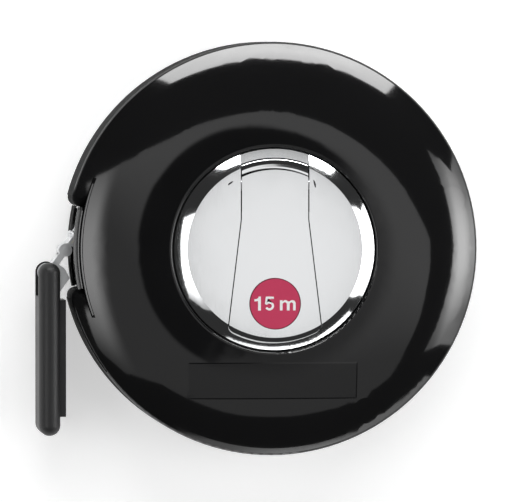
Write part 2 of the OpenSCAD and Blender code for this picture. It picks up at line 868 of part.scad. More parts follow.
module link_pin() color("#b9bcbf") at_tape(eye_run) {
    rod(link_pin_d / 2, -link_z - link_t - side_gap, link_z + link_t + side_gap);
}

// Bar with fully round edges, ends and corners, standing down from its pin
module bar_form() {
    half_z = grip_deep / 2 - grip_r;
    low = -(grip_l - grip_w);
    for (z = [-half_z, half_z]) {
        for (y = [low, 0]) translate([0, y, z]) sphere(grip_r);
        translate([0, low, z]) rotate([-90, 0, 0]) cylinder(r = grip_r, h = -low);
    }
    for (y = [low, 0]) translate([0, y, -half_z]) cylinder(r = grip_r, h = 2 * half_z);
    translate([-grip_r, low, -half_z]) cube([grip_w, -low, 2 * half_z]);
}

// Rivets of the plate, set in the bar
module rivet_rods() {
    for (y = [0.2, 0.8]) translate([0, -plate_drop - y * plate_l, 0]) rotate([0, 90, 0])
        rod(plate_rivet_d / 2, 0, grip_r + plate_t + rivet_proud);
}

module grip_bar() color("#141414") at_grip() difference() {
    bar_form();
    translate([-big, -slot_drop, -cheek_z]) cube([2 * big, big, 2 * cheek_z]);
    rod(grip_pin_d / 2, -pin_end, pin_end);
    rivet_rods();
}

module grip_pin() color("#9fa3a7") at_grip() rod(grip_pin_d / 2, -pin_end, pin_end);

module grip_plate() color("#3a3c3e") at_grip() difference() {
    translate([grip_r, -plate_drop - plate_l, -plate_w / 2]) cube([plate_t, plate_l, plate_w]);
    rivet_rods();
}

module plate_rivets() color("#55585a") at_grip() rivet_rods();

front_shell();
rear_shell();
case_screws();
mouth_frame();
axle();
axle_washer();
axle_screw();
drag_washer();
drum_hub();
hub_bush();
front_flange();
rear_flange();
wound_tape();
tape_anchor();
winding_disc();
disc_screws();
flap_pin();
flap_washers();
crank_flap();
length_dot();
knob_rivet();
crank_knob();
tape_lead();
tape_ferrule();
ferrule_rivets();
end_link();
link_pin();
grip_bar();
grip_pin();
grip_plate();
plate_rivets();
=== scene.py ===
# Looks of the surveyor's tape reel: finishes, printed marks, film label, floor, lamps and camera.
# Lengths are metres, or millimetres where a comment says so. Z is the reel's axis, the tape mouth
# faces -X, and the reel lies on its back.
import json
import math

import bmesh
import bpy
from mathutils import Matrix, Vector


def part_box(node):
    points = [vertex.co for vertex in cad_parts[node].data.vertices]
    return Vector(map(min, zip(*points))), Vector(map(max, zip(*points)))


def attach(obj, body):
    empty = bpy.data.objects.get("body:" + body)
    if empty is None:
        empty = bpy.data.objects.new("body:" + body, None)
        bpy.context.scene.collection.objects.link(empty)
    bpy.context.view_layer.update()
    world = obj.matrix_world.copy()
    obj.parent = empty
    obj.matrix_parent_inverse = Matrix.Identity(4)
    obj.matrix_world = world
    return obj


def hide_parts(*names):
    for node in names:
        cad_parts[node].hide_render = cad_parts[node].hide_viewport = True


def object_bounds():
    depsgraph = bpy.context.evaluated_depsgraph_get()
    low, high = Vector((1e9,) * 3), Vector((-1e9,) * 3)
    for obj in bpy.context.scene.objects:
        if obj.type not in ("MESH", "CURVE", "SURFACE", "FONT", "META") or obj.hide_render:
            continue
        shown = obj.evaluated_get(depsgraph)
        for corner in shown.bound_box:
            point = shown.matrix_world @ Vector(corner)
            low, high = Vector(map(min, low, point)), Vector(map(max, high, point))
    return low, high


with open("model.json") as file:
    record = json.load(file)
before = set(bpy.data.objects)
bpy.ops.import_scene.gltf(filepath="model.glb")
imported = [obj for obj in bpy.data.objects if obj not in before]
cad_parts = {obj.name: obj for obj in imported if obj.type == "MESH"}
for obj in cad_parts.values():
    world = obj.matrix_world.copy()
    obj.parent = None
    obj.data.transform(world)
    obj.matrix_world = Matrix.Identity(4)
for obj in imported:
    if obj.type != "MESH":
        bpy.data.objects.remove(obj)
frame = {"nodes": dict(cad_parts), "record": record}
cad_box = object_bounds()

MM = 0.001

# Measures of the solids that the marks and finishes follow
CASE_T = 30 * MM
CASE_MID = CASE_T / 2
CREST_R = 25.4 * MM
CROWN_R = 49.8 * MM
BAND_HALF = 8.1 * MM
BAND_FADE = 0.3 * MM
LIP_R = 46.4 * MM
LIP_TOP = 25.4 * MM
LIP_FADE = 0.2 * MM
LIP_FRONT = (38 * MM, 40 * MM)
LIP_SIDES = (13 * MM, 16 * MM)
PARTING_HALF = (0.06 * MM, 0.16 * MM)
DOT_Y = -13 * MM
DOT_R = 6.2 * MM
# Band at the red plate's edge that is darkened as painted shade of the gap round it
DOT_GAP_SHADE = (DOT_R - 0.3 * MM, DOT_R - 0.05 * MM)

# Stops that keep a thin line where noise crosses its middle
HAIRLINE = [(0.496, 0), (0.5, 1), (0.504, 0)]


class Shade:
    """A socket in a material's node tree. Arithmetic on it adds Math nodes."""

    def __init__(self, tree, socket=None):
        self.tree = tree
        self.socket = socket

    def node(self, kind, sockets=None, out=0, stops=None, **settings):
        """Adds a node: its settings are set first, then the values or links of its sockets."""
        made = self.tree.nodes.new("ShaderNode" + kind)
        for name, value in settings.items():
            setattr(made, name, value)
        if stops:
            ramp = made.color_ramp.elements
            while len(ramp) < len(stops):
                ramp.new(1)
            for stop, (place, grey) in zip(ramp, stops):
                stop.position = place
                stop.color = (grey, grey, grey, 1)
        for name, value in (sockets or {}).items():
            if isinstance(value, Shade):
                self.tree.links.new(value.socket, made.inputs[name])
            else:
                made.inputs[name].default_value = value
        return Shade(self.tree, made.outputs[out] if made.outputs else None)

    def math(self, operation, *values):
        return self.node("Math", dict(enumerate(values)), operation=operation)

    def mix(self, first, second):
        """The first colour where this is 0, the second where it is 1."""
        first, second = [c if isinstance(c, Shade) else (*c, 1) for c in (first, second)]
        return self.node("Mix", {0: self, 6: first, 7: second}, out=2, data_type="RGBA")

    def __add__(self, other):
        return self.math("ADD", self, other)

    def __sub__(self, other):
        return self.math("SUBTRACT", self, other)

    def __rsub__(self, other):
        return self.math("SUBTRACT", other, self)

    def __mul__(self, other):
        return self.math("MULTIPLY", self, other)

    def __truediv__(self, other):
        return self.math("DIVIDE", self, other)

    def __abs__(self):
        return self.math("ABSOLUTE", self)

    __radd__ = __add__
    __rmul__ = __mul__

    def most(self, other):
        """The larger of the two."""
        return self.math("MAXIMUM", self, other)

    def over(self, other):
        """The longest side of a right-angled triangle with these two as its short ones."""
        return self.math("SQRT", self * self + other * other)

    def rise(self, low, high):
        """Smooth step from 0 at low to 1 at high."""
        sockets = {"Value": self, "From Min": low, "From Max": high}
        return self.node("MapRange", sockets, interpolation_type="SMOOTHSTEP")

    def place(self):
        """Position on the piece in its own frame."""
        return self.node("TexCoord", out="Object")

    def axes(self):
        """X, Y and Z of that position."""
        where = self.place()
        return [self.node("SeparateXYZ", {"Vector": where}, out=axis) for axis in "XYZ"]

    def stretched(self, scale):
        """Position with each axis scaled, for marks that run one way."""
        return self.node("Mapping", {"Vector": self.place(), "Scale": scale})

    def grain(self, size, detail, where=None):
        """Even noise from 0 to 1 with features about as large as size."""
        sockets = {"Vector": where or self.place(), "Scale": 1 / size, "Detail": detail}
        return self.node("TexNoise", sockets)

    def hairlines(self, size, where):
        """Sparse fine lines: 1 on a line, 0 elsewhere."""
        return self.node("ValToRGB", {"Fac": self.grain(size, 0, where)}, stops=HAIRLINE)

    def bump(self, height, depth, strength):
        """Normal of a surface with that height pattern, depth in metres."""
        return self.node("Bump", {"Height": height, "Distance": depth, "Strength": strength})


def blank_tree(block):
    """The emptied node tree of a new material or world."""
    block.use_nodes = True
    block.node_tree.nodes.clear()
    return Shade(block.node_tree)


def new_material(name, shader):
    """A material from a function that makes its shader."""
    material = bpy.data.materials.new(name)
    shade = blank_tree(material)
    shade.node("OutputMaterial", {"Surface": shader(shade)})
    return material


def finish(name, surface, second=None, mask=None):
    """A material from the Principled sockets that surface gives, with a second where mask is 1."""
    def shader(shade):
        main = shade.node("BsdfPrincipled", surface(shade))
        if not second:
            return main
        other = shade.node("BsdfPrincipled", second(shade))
        return shade.node("MixShader", {0: mask(shade), 1: main, 2: other})

    return new_material(name, shader)


def case_gloss(shade):
    """Polished black plastic: faint moulding waves, fine dust and a few hairlines."""
    waves = shade.grain(14 * MM, 1)
    specks = shade.grain(0.7 * MM, 3)
    lines = shade.hairlines(5 * MM, shade.stretched((1, 0.3, 1)))
    return {
        "Base Color": waves.mix((0.0062, 0.0062, 0.0065), (0.008, 0.008, 0.0084)),
        "Roughness": 0.045 + 0.03 * specks + 0.03 * lines,
        "IOR": 1.55,
        "Normal": shade.bump(waves, 0.001 * MM, 0.5),
    }


def case_band(shade):
    """The rim's straight band: fine matt grain, with the parting line of the two shells."""
    z = shade.axes()[2]
    parting = 1 - abs(z - CASE_MID).rise(*PARTING_HALF)
    grain = shade.grain(0.25 * MM, 3)
    return {
        "Base Color": parting.mix((0.006, 0.006, 0.0064), (0.001, 0.001, 0.001)),
        "Roughness": 0.5 + 0.2 * grain,
        "Specular IOR Level": 0.03,
        "Normal": shade.bump(grain * 0.2 - parting, 0.06 * MM, 0.8),
    }


def on_band(shade):
    """1 on the rim's straight band and the mouth's lips, 0 on the crowns and inside."""
    x, y, z = shade.axes()
    band = 1 - abs(z - CASE_MID).rise(BAND_HALF - BAND_FADE, BAND_HALF)
    at_mouth = (0 - x).rise(*LIP_FRONT) * (1 - abs(y).rise(*LIP_SIDES))
    below_crown = 1 - z.rise(LIP_TOP - LIP_FADE, LIP_TOP)
    outside = x.over(y).rise(LIP_R, LIP_R + LIP_FADE)
    return band.most(at_mouth * below_crown) * outside


def film_clear(shade):
    """Clear film on the black case: a touch of dust and a slightly duller gloss."""
    dust = shade.grain(0.5 * MM, 3)
    cloud = shade.grain(4 * MM, 2)
    return {
        "Base Color": dust.mix((0.0045, 0.0045, 0.0048), (0.008, 0.008, 0.0085)),
        "Roughness": 0.09 + 0.07 * cloud,
        "IOR": 1.5,
        "Normal": shade.bump(cloud, 0.01 * MM, 0.5),
    }


def drum_plastic(shade):
    """Plain moulded black plastic with a fine matt grain."""
    grain = shade.grain(0.35 * MM, 3)
    return {
        "Base Color": grain.mix((0.018, 0.018, 0.019), (0.035, 0.035, 0.037)),
        "Roughness": 0.38 + 0.16 * grain,
        "Normal": shade.bump(grain, 0.02 * MM, 0.6),
    }


def grip_plastic(shade):
    """Black plastic of the bar, satin, with a fine spark-eroded grain."""
    grain = shade.grain(0.3 * MM, 3)
    wear = shade.grain(6 * MM, 2)
    return {
        "Base Color": wear.mix((0.007, 0.007, 0.0075), (0.012, 0.012, 0.013)),
        "Roughness": 0.42 + 0.12 * wear,
        "IOR": 1.52,
        "Normal": shade.bump(grain, 0.015 * MM, 0.6),
    }


def chrome_plate(shade):
    """Bright chrome with a hint of polishing lines."""
    cloud = shade.grain(5 * MM, 2)
    lines = shade.grain(0.25 * MM, 2, shade.stretched((1, 0.08, 1)))
    return {
        "Base Color": cloud.mix((0.80, 0.81, 0.82), (0.86, 0.87, 0.88)),
        "Metallic": 1.0,
        "Roughness": 0.04 + 0.03 * cloud + 0.02 * lines,
        "Normal": shade.bump(lines, 0.002 * MM, 0.3),
    }


def worn_chrome(shade):
    """Chrome on the small bent parts, dulled by handling."""
    cloud = shade.grain(1.2 * MM, 3)
    lines = shade.grain(0.2 * MM, 2, shade.stretched((1, 1, 0.1)))
    return {
        "Base Color": cloud.mix((0.72, 0.73, 0.74), (0.84, 0.85, 0.86)),
        "Metallic": 1.0,
        "Roughness": 0.3 + 0.14 * cloud,
        "Normal": shade.bump(lines, 0.004 * MM, 0.4),
    }


def blued_plate(shade):
    """Blackened sheet of the bar's inner plate, satin."""
    cloud = shade.grain(2 * MM, 3)
    return {
        "Base Color": cloud.mix((0.006, 0.006, 0.0065), (0.013, 0.013, 0.014)),
        "Roughness": 0.36 + 0.14 * cloud,
        "Normal": shade.bump(shade.grain(0.2 * MM, 2), 0.004 * MM, 0.5),
    }


def turned_steel(shade):
    """Plain steel with turning marks."""
    marks = shade.grain(0.2 * MM, 2, shade.stretched((1, 1, 0.05)))
    return {
        "Base Color": marks.mix((0.42, 0.43, 0.44), (0.58, 0.59, 0.6)),
        "Metallic": 1.0,
        "Roughness": 0.24 + 0.14 * marks,
        "Normal": shade.bump(marks, 0.004 * MM, 0.5),
    }


def punched_steel(shade):
    """Dark floor of a punch mark."""
    cloud = shade.grain(0.3 * MM, 2)
    return {
        "Base Color": cloud.mix((0.05, 0.05, 0.052), (0.12, 0.12, 0.125)),
        "Metallic": 1.0,
        "Roughness": 0.4 + 0.2 * cloud,
    }


def turned_brass(shade):
    """Brass, slightly tarnished."""
    tarnish = shade.grain(1.5 * MM, 3)
    return {
        "Base Color": tarnish.mix((0.62, 0.42, 0.16), (0.45, 0.29, 0.1)),
        "Metallic": 1.0,
        "Roughness": 0.22 + 0.18 * tarnish,
    }


def tape_lacquer(shade):
    """Yellow-white lacquer on the steel band."""
    cloud = shade.grain(3 * MM, 3)
    return {
        "Base Color": cloud.mix((0.78, 0.75, 0.62), (0.84, 0.81, 0.68)),
        "Roughness": 0.3 + 0.1 * cloud,
        "Normal": shade.bump(shade.grain(0.3 * MM, 2), 0.003 * MM, 0.5),
    }


def red_plate(shade):
    """Red enamelled plate, with painted shade of the gap round its edge."""
    cloud = shade.grain(2.5 * MM, 3)
    x, y, _ = shade.axes()
    # Painted shade: the plate's edge darkens as if shaded by the gap round it
    gap_shade = x.over(y - DOT_Y).rise(*DOT_GAP_SHADE)
    enamel = cloud.mix((0.54, 0.036, 0.1), (0.59, 0.043, 0.116))
    return {
        "Base Color": gap_shade.mix(enamel, (0.08, 0.004, 0.012)),
        "Roughness": 0.34 + 0.08 * cloud,
        "Normal": shade.bump(shade.grain(0.2 * MM, 2), 0.003 * MM, 0.4),
    }


def white_print(shade):
    """Thick white printing ink."""
    cloud = shade.grain(0.4 * MM, 3)
    return {
        "Base Color": cloud.mix((0.86, 0.86, 0.86), (0.93, 0.93, 0.93)),
        "Roughness": 0.4 + 0.1 * cloud,
        "Normal": shade.bump(cloud, 0.003 * MM, 0.4),
    }


def black_print(shade):
    """Black printing ink on the tape, slightly worn."""
    wear = shade.grain(0.6 * MM, 3)
    return {
        "Base Color": wear.mix((0.012, 0.012, 0.013), (0.035, 0.035, 0.034)),
        "Roughness": 0.4 + 0.15 * wear,
    }


CASE = finish("case_black", case_gloss, case_band, on_band)
FRAME = finish("frame_gloss", case_gloss)
DRUM = finish("drum_black", drum_plastic)
GRIP = finish("grip_black", grip_plastic)
CHROME = finish("chrome", chrome_plate)
WORN = finish("chrome_worn", worn_chrome)
BLUED = finish("plate_blued", blued_plate)
STEEL = finish("steel", turned_steel)
BRASS = finish("brass", turned_brass)
TAPE = finish("tape_white", tape_lacquer)
RED = finish("plate_red", red_plate)
FILM = finish("film_clear", film_clear)
PUNCH = finish("punch_dark", punched_steel)
PRINT = finish("print_white", white_print)
INK = finish("print_black", black_print)

# Finish of each material slot, and of the nodes that differ from their slot
SLOT_FINISH = {
    "case_black": CASE, "drum_black": DRUM, "grip_black": GRIP, "chrome": CHROME,
    "steel": STEEL, "brass": BRASS, "tape_white": TAPE, "plate_red": RED,
}
NODE_FINISH = {
    "mouth_frame": FRAME,
    "end_link": WORN, "link_pin": WORN, "grip_pin": WORN,
    "tape_ferrule": WORN, "ferrule_rivets": WORN,
    "grip_plate": BLUED, "plate_rivets": BLUED,
}
for part in frame["record"]["subparts"]:
    plain = SLOT_FINISH[part["material_slot"]]
    frame["nodes"][part["node"]].data.materials[0] = NODE_FINISH.get(part["node"], plain)


def placed(name, data):
    """A new object in the scene."""
    made = bpy.data.objects.new(name, data)
    bpy.context.scene.collection.objects.link(made)
    return made


def piece(name, shape, material, body):
    """A new piece from a bmesh, riding on a body."""
    bmesh.ops.recalc_face_normals(shape, faces=shape.faces)
    mesh = bpy.data.meshes.new(name)
    shape.to_mesh(mesh)
    shape.free()
    mesh.materials.clear()
    mesh.materials.append(material)
    made = placed(name, mesh)
    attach(made, body)
    return made


def prism(shape, outline, lay, low, high):
    """Adds a flat-topped print to a bmesh: lay turns an outline point and a height into a place."""
    foot = [shape.verts.new(lay(u, v, low)) for u, v in outline]
    top = [shape.verts.new(lay(u, v, high)) for u, v in outline]
    shape.faces.new(foot)
    shape.faces.new(top)
    for i in range(len(outline)):
        j = (i + 1) % len(outline)
        shape.faces.new((foot[i], foot[j], top[j], top[i]))


def arc(centre, reach, start, end, count):
    """Points on an ellipse's arc, angles in degrees."""
    turns = [math.radians(start + (end - start) * i / count) for i in range(count + 1)]
    return [(centre[0] + reach[0] * math.cos(a), centre[1] + reach[1] * math.sin(a)) for a in turns]


MITRE_LEAST = 0.6


def stroke(path, width):
    """Outline of a pen stroke along a path, with mitred corners."""
    sides = []
    for i, point in enumerate(path):
        here = Vector(point)
        before = (here - Vector(path[i - 1])).normalized() if i else None
        after = (Vector(path[i + 1]) - here).normalized() if i + 1 < len(path) else None
        ahead = after or before
        along = ((before or after) + ahead).normalized()
        aside = Vector((-along.y, along.x))
        reach = width / 2 / max(MITRE_LEAST, aside.dot(Vector((-ahead.y, ahead.x))))
        sides.append((here + aside * reach, here - aside * reach))
    return [tuple(a) for a, _ in sides] + [tuple(b) for _, b in reversed(sides)]


# How far prints sink into what carries them, and stand up from it
PRINT_SINK = 0.01 * MM
PRINT_UP = 0.03 * MM
INK_UP = 0.015 * MM

# Outlines of the length mark in millimetres, from the left end of its baseline
ONE = [
    (1.57, 0), (1.57, 3.38), (1.02, 3.38), (0.88, 3.0), (0.5, 2.78), (0, 2.72),
    (0, 2.2), (0.87, 2.28), (0.87, 0),
]
FIVE_PEN = 0.54
FIVE = stroke(
    [(4.72, 3.08), (3.0, 3.08), (2.82, 1.74)]
    + arc((3.62, 1.12), (0.86, 0.84), 138, -152, 18), FIVE_PEN)
EM = (
    [(6.16, 0), (6.16, 2.46), (6.80, 2.46), (6.80, 2.16)]
    + arc((7.5, 1.76), (0.72, 0.74), 148, 36, 8)
    + arc((9.16, 1.66), (0.82, 0.84), 142, 0, 12)
    + [(9.98, 0), (9.34, 0)] + arc((8.93, 1.5), (0.41, 0.46), 0, 180, 10)
    + [(8.52, 0), (7.84, 0)] + arc((7.33, 1.5), (0.51, 0.46), 0, 180, 10) + [(6.82, 0)]
)
MARK_START = Vector((-5.02, -1.63))


def length_mark():
    """The number of metres, printed on the red plate."""
    low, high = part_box("length_dot")
    middle = (low + high) / 2
    shape = bmesh.new()

    def lay(u, v, up):
        x, y = (MARK_START + Vector((u, v))) * MM
        return Vector((middle.x + x, middle.y + y, high.z + up))

    for outline in (ONE, FIVE, EM):
        prism(shape, outline, lay, -PRINT_SINK, PRINT_UP)
    piece("length_mark", shape, PRINT, "crank")


# Slope in degrees of the flap's tail at each distance from the axis in millimetres
TAIL_ROLL = [
    (19.2, 0), (19.35, 1.1), (19.8, 7.5), (20.6, 11), (21.6, 23), (21.7, 28), (21.8, 60),
]
# The solid's corners that are the tail's upper side: beyond this distance and above this level
TAIL_START = 18.6 * MM
TAIL_LOW = 29.75 * MM
FLAP_CREASE = math.radians(10)
LEVEL_FACE = 0.99999


def tail_drop(out):
    """How far the rolled tail lies below the flap's face, at a distance from the axis."""
    drop = 0
    for (near, gentle), (far, steep) in zip(TAIL_ROLL, TAIL_ROLL[1:]):
        share = min(max((out / MM - near) / (far - near), 0), 1)
        start, end = math.tan(math.radians(gentle)), math.tan(math.radians(steep))
        drop += (start + (end - start) * share / 2) * share * (far - near)
    return drop * MM


def rolled_flap():
    """The crank flap with its tail bent down in one smooth roll, as sheet metal is."""
    node = frame["nodes"]["crank_flap"]
    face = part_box("crank_flap")[1].z
    shape = bmesh.new()
    shape.from_mesh(node.data)
    for corner in shape.verts:
        out = math.hypot(corner.co.x, corner.co.y)
        if corner.co.y > 0 and out > TAIL_START and corner.co.z > TAIL_LOW:
            corner.co.z = face - tail_drop(out)
    flap = piece("rolled_flap", shape, CHROME, "crank")
    if "custom_normal" in flap.data.attributes:
        flap.data.attributes.remove(flap.data.attributes["custom_normal"])
    flap.data.shade_smooth()
    flap.data.set_sharp_from_angle(angle=FLAP_CREASE)
    for side in flap.data.polygons:
        side.use_smooth = abs(side.normal.z) < LEVEL_FACE
    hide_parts("crank_flap")


def crown_point(x, y, up):
    """A place on the case's crown, or above it along its slope."""
    out = math.hypot(x, y)
    slope = math.asin((out - CREST_R) / CROWN_R)
    reach = CROWN_R + up
    radius = CREST_R + reach * math.sin(slope)
    height = CASE_T - CROWN_R + reach * math.cos(slope)
    return Vector((x / out * radius, y / out * radius, height))


FILM_LEFT, FILM_RIGHT = -20.9 * MM, 20.2 * MM
FILM_LOW, FILM_HIGH = -36.1 * MM, -27.2 * MM
FILM_T = 0.05 * MM
FILM_SINK = 0.03 * MM
FILM_EDGE = 0.3 * MM


def film_label(across=48, down=12):
    """Bare film label that follows the crown below the winding disc, thin at its edges."""
    def spread(low, high, count):
        step = (high - low - 2 * FILM_EDGE) / count
        return [low] + [low + FILM_EDGE + step * i for i in range(count + 1)] + [high]

    shape = bmesh.new()
    columns = spread(FILM_LEFT, FILM_RIGHT, across)
    lines = spread(FILM_LOW, FILM_HIGH, down)

    def corner(x, y):
        at_edge = y in (lines[0], lines[-1]) or x in (columns[0], columns[-1])
        return shape.verts.new(crown_point(x, y, 0 if at_edge else FILM_T))

    top = [[corner(x, y) for x in columns] for y in lines]
    foot = [[shape.verts.new(crown_point(x, y, -FILM_SINK)) for x in columns] for y in lines]
    rims = []
    for rows in (top, foot):
        for low, high in zip(rows, rows[1:]):
            for i in range(len(columns) - 1):
                shape.faces.new((low[i], low[i + 1], high[i + 1], high[i]))
        right = [row[-1] for row in rows]
        left = [row[0] for row in rows]
        rims.append(rows[0][:-1] + right[:-1] + rows[-1][:0:-1] + left[:0:-1])
    for i in range(len(rims[0])):
        shape.faces.new((rims[0][i - 1], rims[0][i], rims[1][i], rims[1][i - 1]))
    piece("film_label", shape, FILM, "case")


# Fine ridges on the mouth frame: distance from the axis and height of the inner edge, the same
# of the outer edge, the foot's height in millimetres, and half the turn in degrees
RIDGES = [
    (46.08, 25.65, 46.4, 25.52, 25.4, 20),
    (46.84, 25.21, 47.1, 25.1, 24.85, 11.5),
    (47.5, 25.232, 47.95, 25.05, 24.9, 11.5),
]
MOUTH_TURN = 180


def mouth_ridges(count=40):
    """Fine ridges along the mouth frame's rolled edge, sloped outwards like the crown."""
    shape = bmesh.new()
    for inner, high, outer, low, foot, half in RIDGES:
        section = [(inner, foot), (inner, high), (outer, low), (outer, foot)]
        rings = []
        for i in range(count + 1):
            turn = math.radians(MOUTH_TURN + half * (2 * i / count - 1))
            places = [Vector((r * math.cos(turn), r * math.sin(turn), z)) for r, z in section]
            rings.append([shape.verts.new(place * MM) for place in places])
        for ring, after in zip(rings, rings[1:]):
            for j in range(len(section)):
                shape.faces.new((ring[j - 1], ring[j], after[j], after[j - 1]))
        shape.faces.new(rings[0])
        shape.faces.new(rings[-1])
    piece("mouth_ridges", shape, FRAME, "case")


# Punch marks that hold the ends of the flap's pin: place and length in millimetres, and turn
STAKES = [((-10.75, 15.95), 1.5, 36), ((9.5, 15.8), 1.9, -76)]
STAKE_BULGE, STAKE_HOLLOW = 0.3, 0.12
STAKE_SINK = 0.02 * MM
STAKE_UP = 0.01 * MM


def pin_stakes():
    """Small punch marks in the disc over the ends of the hinge pin."""
    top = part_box("winding_disc")[1].z
    shape = bmesh.new()
    for (x, y), long, turn in STAKES:
        turned = Matrix.Rotation(math.radians(turn), 2)
        bulge = arc((0, 0), (long / 2, STAKE_BULGE), 0, 180, 12)
        hollow = arc((0, 0), (long / 2, STAKE_HOLLOW), 180, 360, 12)

        def lay(u, v, up):
            u, v = turned @ Vector((u, v))
            return Vector(((x + u) * MM, (y + v) * MM, top + up))

        prism(shape, bulge + hollow[1:-1], lay, -STAKE_SINK, STAKE_UP)
    piece("pin_stakes", shape, PUNCH, "reel")


# The tape's straight run in millimetres, as in the solids: from the pack's tangent point to the eye
TAPE_SLANT = math.radians(35.9944)
TAPE_OUT = Vector((-math.cos(TAPE_SLANT), math.sin(TAPE_SLANT), 0))
TAPE_DIR = Vector((-math.sin(TAPE_SLANT), -math.cos(TAPE_SLANT), 0))
TAPE_FACE = 40.05
EYE_RUN = 29.397
TAPE_W = 13

# Ticks in millimetres: those that lie on the straight run, and the length of every so many
TICKS = range(8, 53)
TICK_LENGTHS = [(10, 4.2), (5, 3), (1, 2)]
TICK_HALF = 0.09
TICK_INSET = 0.3

# Numbers of the centimetres as pen strokes in a box of 1 by 1, and that box in millimetres
DIGIT_W, DIGIT_H = 2, 3
DIGIT_GAP = 0.6
DIGIT_PEN = 0.42
DIGITS = {
    1: [[(0.2, 0.76), (0.55, 1.0), (0.55, 0)]],
    2: [[(0.06, 0.76), (0.18, 0.93), (0.44, 1.0), (0.72, 0.92), (0.82, 0.73), (0.7, 0.5),
         (0.08, 0.0), (0.9, 0.0)]],
    3: [[(0.08, 0.86), (0.28, 0.99), (0.55, 1.0), (0.78, 0.88), (0.78, 0.68), (0.6, 0.55),
         (0.36, 0.53)],
        [(0.5, 0.54), (0.74, 0.47), (0.87, 0.28), (0.77, 0.08), (0.48, 0.0), (0.2, 0.04),
         (0.05, 0.18)]],
    4: [[(0.7, 1.0), (0.06, 0.32), (0.94, 0.32)], [(0.7, 1.0), (0.7, 0.0)]],
    5: [[(0.84, 1.0), (0.2, 1.0), (0.13, 0.54), (0.38, 0.63), (0.64, 0.59), (0.84, 0.42),
         (0.85, 0.22), (0.68, 0.04), (0.4, 0.0), (0.12, 0.08)]],
}


def tape_marks():
    """Millimetre ticks and plain centimetre numbers on the tape's outer side."""
    shape = bmesh.new()

    def lay(u, v, up):
        at = TAPE_OUT * (TAPE_FACE * MM + up) + TAPE_DIR * (EYE_RUN - u) * MM
        return Vector((at.x, at.y, CASE_MID + v * MM))

    for tick in TICKS:
        long = next(length for step, length in TICK_LENGTHS if tick % step == 0)
        left, right = tick - TICK_HALF, tick + TICK_HALF
        for side in (-1, 1):
            edge = side * (TAPE_W / 2 - TICK_INSET)
            end = edge - side * long
            outline = [(left, edge), (right, edge), (right, end), (left, end)]
            prism(shape, outline, lay, -PRINT_SINK, INK_UP)
    for number, strokes in DIGITS.items():
        start = number * 10 - DIGIT_GAP
        for path in strokes:
            line = [(start - DIGIT_W * u, DIGIT_H * (v - 0.5)) for u, v in path]
            prism(shape, stroke(line, DIGIT_PEN), lay, -PRINT_SINK, INK_UP)
    piece("tape_marks", shape, INK, "tape")


def stage_mesh(name, corners, faces, material):
    """A piece of the studio that isn't part of the object."""
    mesh = bpy.data.meshes.new(name)
    mesh.from_pydata(corners, [], faces)
    mesh.materials.append(material)
    made = placed(name, mesh)
    return made


ROOM_R = 2.8
ROOM_H = 0.9
ROOM_LIGHT = 0.03
FLOOR_GAP = 0.02 * MM
FLOOR_LIFT = 0.5
WALL_WHITE = 0.95


def looked_at(shade):
    """1 for the camera and in mirrors and glass, 0 for the light that falls on the reel."""
    seen = shade.node("LightPath", out="Is Camera Ray")
    for ray in ("Is Glossy Ray", "Is Transmission Ray"):
        seen = seen.most(shade.node("LightPath", out=ray))
    return seen


def pale_floor(shade):
    """Matt white floor that takes the reel's shadow, lifted to white where it is looked at."""
    colour = shade.grain(0.2, 2).mix((0.8, 0.8, 0.8), (0.83, 0.83, 0.83))
    matt = shade.node("BsdfDiffuse", {"Color": colour})
    lift = shade.node("Emission", {"Color": FLOOR_LIFT * looked_at(shade)})
    return shade.node("AddShader", {0: matt, 1: lift})


def white_wall(shade):
    """Wall that looks white to the camera and in mirrors, and lights nothing."""
    return shade.node("Emission", {"Color": WALL_WHITE * looked_at(shade)})


def floor_and_wall(count=96):
    """A wide flat floor that the reel lies on, and a low round wall far behind it."""
    level = cad_box[0].z - FLOOR_GAP
    ring = arc((0, 0), (ROOM_R, ROOM_R), 0, 360, count)[:-1]
    foot = [(x, y, level) for x, y in ring]
    head = [(x, y, level + ROOM_H) for x, y in ring]
    stage_mesh("floor", foot, [tuple(range(count))], new_material("floor_white", pale_floor))
    walls = [(i, (i + 1) % count, count + (i + 1) % count, count + i) for i in range(count)]
    stage_mesh("wall", foot + head, walls, new_material("wall_white", white_wall))


PANEL_UP = 1.025


def lit_panel(name, outline, level):
    """A flat lamp panel a metre above the reel; level gives its brightness from X and Y."""
    def glow(shade):
        x, y, _ = shade.axes()
        return shade.node("Emission", {"Color": level(x, y)})

    corners = [(x, y, 0) for x, y in outline]
    panel = stage_mesh(name, corners, [tuple(range(len(corners)))], new_material(name, glow))
    panel.location.z = PANEL_UP
    panel.visible_camera = False


def away(x, y, place, half=(1, 1)):
    """Distance from a place on a panel, counted in half widths of an oval."""
    return ((x - place[0]) / half[0]).over((y - place[1]) / half[1])


# Light of the overhead card: all over, added towards its far right and added at its left end
CARD_LIGHT, CARD_FAR, CARD_LEFT = 0.46, 0.5, 3.9
CARD_SKEW, CARD_START, CARD_SPAN = 0.45, -0.25, 0.45
LEFT_RISE = (0.6, 0.87)
LEFT_MID = -0.1
END_FADE = (0.05, 0.75)
# Dark oval round the camera, and the line beyond which it is open
HOOD_AT, HOOD_HALF = (-0.03, -0.025), (0.215, 0.26)
HOOD_EDGE = (0.92, 1.12)
OPEN_AT, OPEN_DIR = (0.12, -0.07), (0.84, -0.54)
OPEN_EDGE = (-0.035, 0.01)
# Dimmer part beside the camera, and the even patch that the winding disc's face mirrors
DIM_LIGHT = 0.5
DIM_AT = (0.12, -0.08)
DIM_EDGE = (0.02, 0.26)
PATCH_LIGHT = 0.97
PATCH_AT = (0.106, -0.031)
PATCH_EDGE = (0.039, 0.042)


